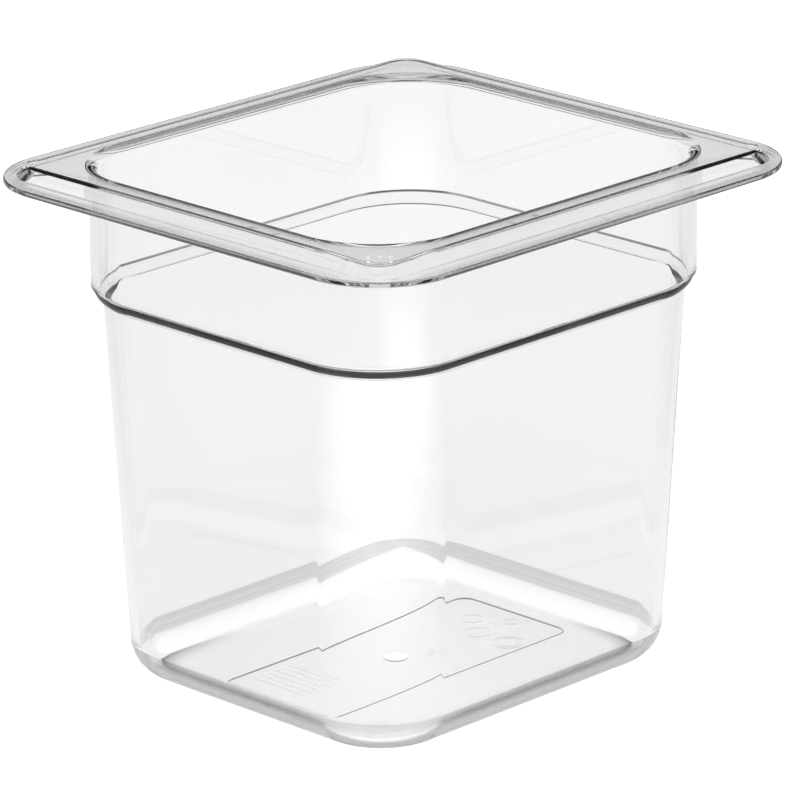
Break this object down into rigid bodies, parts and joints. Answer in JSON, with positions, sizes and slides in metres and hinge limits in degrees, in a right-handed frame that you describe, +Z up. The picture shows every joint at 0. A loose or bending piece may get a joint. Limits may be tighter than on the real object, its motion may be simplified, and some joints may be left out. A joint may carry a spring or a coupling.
{
  "type": "food pan",
  "caption": "Clear one-sixth size food pan with a stepped rim, an upright collar, a stacking shoulder and a tapered well for deli and salad bar wells.",
  "frame": {"origin": "middle of the underside, on the surface that the pan stands on", "axes": "+Z up, towards the open mouth; +X along the pan's longer side, 176 mm over the rim; +Y along its 162 mm side"},
  "size_m": [0.176, 0.162, 0.152],
  "materials": {
    "clear_polycarbonate": "clear and glossy; the outside of the well has a very fine texture"
  },
  "bodies": {
    "root": {"pan": "clear_polycarbonate"}
  },
  "joints": []
}
